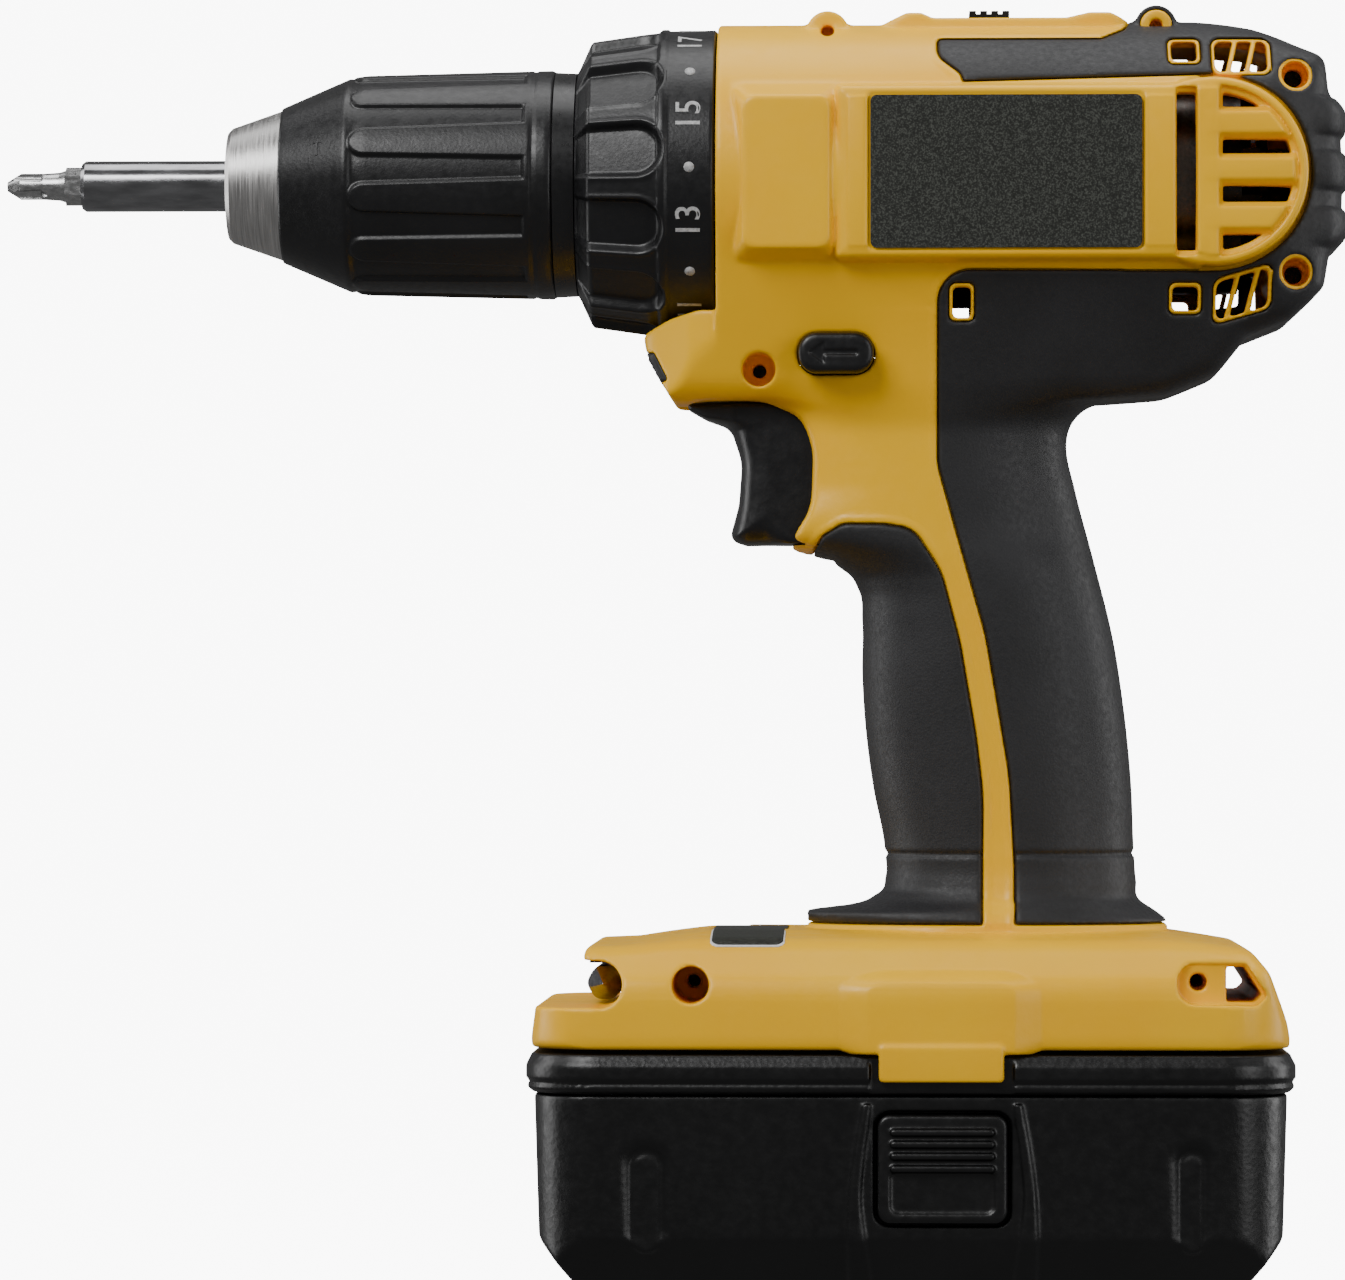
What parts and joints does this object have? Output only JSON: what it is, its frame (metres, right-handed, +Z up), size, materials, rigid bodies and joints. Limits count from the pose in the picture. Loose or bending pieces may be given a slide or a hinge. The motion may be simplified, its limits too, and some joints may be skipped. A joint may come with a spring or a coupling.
{
  "type": "cordless drill",
  "caption": "Pistol-grip cordless drill with a keyless chuck, torque collar, trigger, bit holder and slide-off stick battery.",
  "frame": {"origin": "centre of the battery's bottom face, where the drill stands", "axes": "+Z up, nose towards -X, the tool's left side towards -Y"},
  "size_m": [0.2539, 0.0872, 0.2402],
  "materials": {
    "yellow_shell": "fine moulded texture",
    "black_rubber": "pebbled soft grip",
    "black_plastic": "fine leather grain",
    "gloss_black": "satin",
    "label": "blank printed plate",
    "steel": "turned",
    "dark_steel": "blackened",
    "copper": "enamelled copper",
    "brass": "plain",
    "magnet": "ferrite",
    "cell_wrap": "shrink sleeve"
  },
  "bodies": {
    "housing": {"housing_left": "yellow_shell", "housing_right": "yellow_shell", "overmold_left": "black_rubber", "overmold_right": "black_rubber", "label_plates": "label", "housing_screws": "dark_steel", "chin_insert": "black_rubber", "gear_case": "dark_steel", "gear_plate": "steel", "bearings": "steel", "ring_gear_1": "steel", "clutch_thrust_set": "steel", "clutch_spring": "steel", "motor_can": "dark_steel", "magnets": "magnet", "brush_card": "black_plastic", "carbon_brushes": "magnet", "leads": "black_rubber", "switch_body": "black_plastic", "terminal_block": "black_plastic", "bit_clip": "black_plastic"},
    "rotor": {"rotor_shaft": "steel", "laminations": "steel", "armature_copper": "copper", "motor_fan": "black_plastic"},
    "carrier_1": {"carrier_1": "steel"},
    "spindle": {"spindle": "steel", "chuck_body": "steel", "chuck_ring": "gloss_black", "chuck_screw": "steel"},
    "chuck_sleeve": {"chuck_sleeve": "black_plastic", "chuck_nut": "steel"},
    "bit_holder": {"bit_holder": "steel"},
    "bit": {"bit": "steel"},
    "clutch_collar": {"clutch_collar": "black_plastic"},
    "clutch_nut": {"clutch_nut": "black_plastic"},
    "speed_selector": {"speed_knob": "black_plastic", "shift_fork": "steel", "ring_gear_2": "steel"},
    "trigger": {"trigger": "black_plastic", "trigger_spring": "steel"},
    "direction_bar": {"direction_bar": "black_plastic"},
    "spare_bit": {"spare_bit": "steel"},
    "battery": {"battery_case": "black_plastic", "battery_cap": "black_plastic", "battery_cells": "cell_wrap", "battery_contacts": "brass", "battery_screws": "dark_steel", "release_springs": "steel"},
    "release_button_left": {"release_button_left": "black_plastic"},
    "release_button_right": {"release_button_right": "black_plastic"},
    "planet_1a": {"planet_1a": "steel"},
    "planet_1b": {"planet_1b": "steel"},
    "planet_1c": {"planet_1c": "steel"},
    "planet_2a": {"planet_2a": "steel"},
    "planet_2b": {"planet_2b": "steel"},
    "planet_2c": {"planet_2c": "steel"},
    "jaw_a": {"jaw_a": "steel"},
    "jaw_b": {"jaw_b": "steel"},
    "jaw_c": {"jaw_c": "steel"}
  },
  "joints": [
    {"name": "motor_spin", "type": "hinge", "parent": "housing", "child": "rotor", "pos_m": [0.03, 0, 0.2071], "axis": [1, 0, 0], "continuous": true},
    {"name": "carrier_1_spin", "type": "hinge", "parent": "housing", "child": "carrier_1", "pos_m": [0, 0, 0.2071], "axis": [1, 0, 0], "continuous": true},
    {"name": "spindle_spin", "type": "hinge", "parent": "housing", "child": "spindle", "pos_m": [-0.03, 0, 0.2071], "axis": [1, 0, 0], "continuous": true},
    {"name": "planet_1a_spin", "type": "hinge", "parent": "carrier_1", "child": "planet_1a", "pos_m": [0.006, 0.01125, 0.2071], "axis": [1, 0, 0], "continuous": true},
    {"name": "planet_1b_spin", "type": "hinge", "parent": "carrier_1", "child": "planet_1b", "pos_m": [0.006, -0.00562, 0.21684], "axis": [1, 0, 0], "continuous": true},
    {"name": "planet_1c_spin", "type": "hinge", "parent": "carrier_1", "child": "planet_1c", "pos_m": [0.006, -0.00562, 0.19736], "axis": [1, 0, 0], "continuous": true},
    {"name": "planet_2a_spin", "type": "hinge", "parent": "spindle", "child": "planet_2a", "pos_m": [-0.006, 0.012, 0.2071], "axis": [1, 0, 0], "continuous": true},
    {"name": "planet_2b_spin", "type": "hinge", "parent": "spindle", "child": "planet_2b", "pos_m": [-0.006, -0.006, 0.21749], "axis": [1, 0, 0], "continuous": true},
    {"name": "planet_2c_spin", "type": "hinge", "parent": "spindle", "child": "planet_2c", "pos_m": [-0.006, -0.006, 0.19671], "axis": [1, 0, 0], "continuous": true},
    {"name": "clutch_collar_turn", "type": "hinge", "parent": "housing", "child": "clutch_collar", "pos_m": [-0.05, 0, 0.2071], "axis": [-1, 0, 0], "range_deg": [0, 340]},
    {"name": "clutch_nut_travel", "type": "slide", "parent": "clutch_collar", "child": "clutch_nut", "axis": [-1, 0, 0], "range_m": [0, 0.005]},
    {"name": "chuck_sleeve_turn", "type": "hinge", "parent": "spindle", "child": "chuck_sleeve", "pos_m": [-0.09, 0, 0.2071], "axis": [-1, 0, 0], "range_deg": [0, 1200]},
    {"name": "jaw_a_slide", "type": "slide", "parent": "spindle", "child": "jaw_a", "axis": [0.9659, 0, 0.2588], "range_m": [0, 0.0064]},
    {"name": "jaw_b_slide", "type": "slide", "parent": "spindle", "child": "jaw_b", "axis": [0.9659, -0.2241, -0.1294], "range_m": [0, 0.0064]},
    {"name": "jaw_c_slide", "type": "slide", "parent": "spindle", "child": "jaw_c", "axis": [0.9659, 0.2241, -0.1294], "range_m": [0, 0.0064]},
    {"name": "bit_holder_pull", "type": "slide", "parent": "spindle", "child": "bit_holder", "axis": [-1, 0, 0], "range_m": [0, 0.03]},
    {"name": "bit_pull", "type": "slide", "parent": "bit_holder", "child": "bit", "axis": [-1, 0, 0], "range_m": [0, 0.012]},
    {"name": "speed_select", "type": "slide", "parent": "housing", "child": "speed_selector", "axis": [-1, 0, 0], "range_m": [0, 0.006]},
    {"name": "trigger_pull", "type": "slide", "parent": "housing", "child": "trigger", "axis": [1, 0, 0], "range_m": [0, 0.007], "stiffness_N_per_m": 900, "springref_m": -0.004, "deforming": ["trigger_spring"]},
    {"name": "direction_slide", "type": "slide", "parent": "housing", "child": "direction_bar", "axis": [0, 1, 0], "range_m": [-0.003, 0.003]},
    {"name": "spare_bit_pull", "type": "slide", "parent": "housing", "child": "spare_bit", "axis": [-1, 0, 0], "range_m": [0, 0.02]},
    {"name": "battery_slide", "type": "slide", "parent": "housing", "child": "battery", "axis": [0, 0, -1], "range_m": [0, 0.06]},
    {"name": "release_button_left_press", "type": "slide", "parent": "battery", "child": "release_button_left", "axis": [0, 1, 0], "range_m": [0, 0.003], "stiffness_N_per_m": 700, "springref_m": -0.003, "deforming": ["release_springs"]},
    {"name": "release_button_right_press", "type": "slide", "parent": "battery", "child": "release_button_right", "axis": [0, -1, 0], "range_m": [0, 0.003], "stiffness_N_per_m": 700, "springref_m": -0.003, "deforming": ["release_springs"]}
  ],
  "couplings": [
    {"joint": "carrier_1_spin", "follows": "motor_spin", "ratio": 0.2},
    {"joint": "spindle_spin", "follows": "motor_spin", "ratio": 0.05},
    {"joint": "planet_1a_spin", "follows": "motor_spin", "ratio": -0.53333},
    {"joint": "planet_1b_spin", "follows": "motor_spin", "ratio": -0.53333},
    {"joint": "planet_1c_spin", "follows": "motor_spin", "ratio": -0.53333},
    {"joint": "planet_2a_spin", "follows": "motor_spin", "ratio": -0.15},
    {"joint": "planet_2b_spin", "follows": "motor_spin", "ratio": -0.15},
    {"joint": "planet_2c_spin", "follows": "motor_spin", "ratio": -0.15},
    {"joint": "clutch_nut_travel", "follows": "clutch_collar_turn", "m_per_rad": 0.00084258},
    {"joint": "jaw_a_slide", "follows": "chuck_sleeve_turn", "m_per_rad": 0.00030558},
    {"joint": "jaw_b_slide", "follows": "chuck_sleeve_turn", "m_per_rad": 0.00030558},
    {"joint": "jaw_c_slide", "follows": "chuck_sleeve_turn", "m_per_rad": 0.00030558}
  ]
}
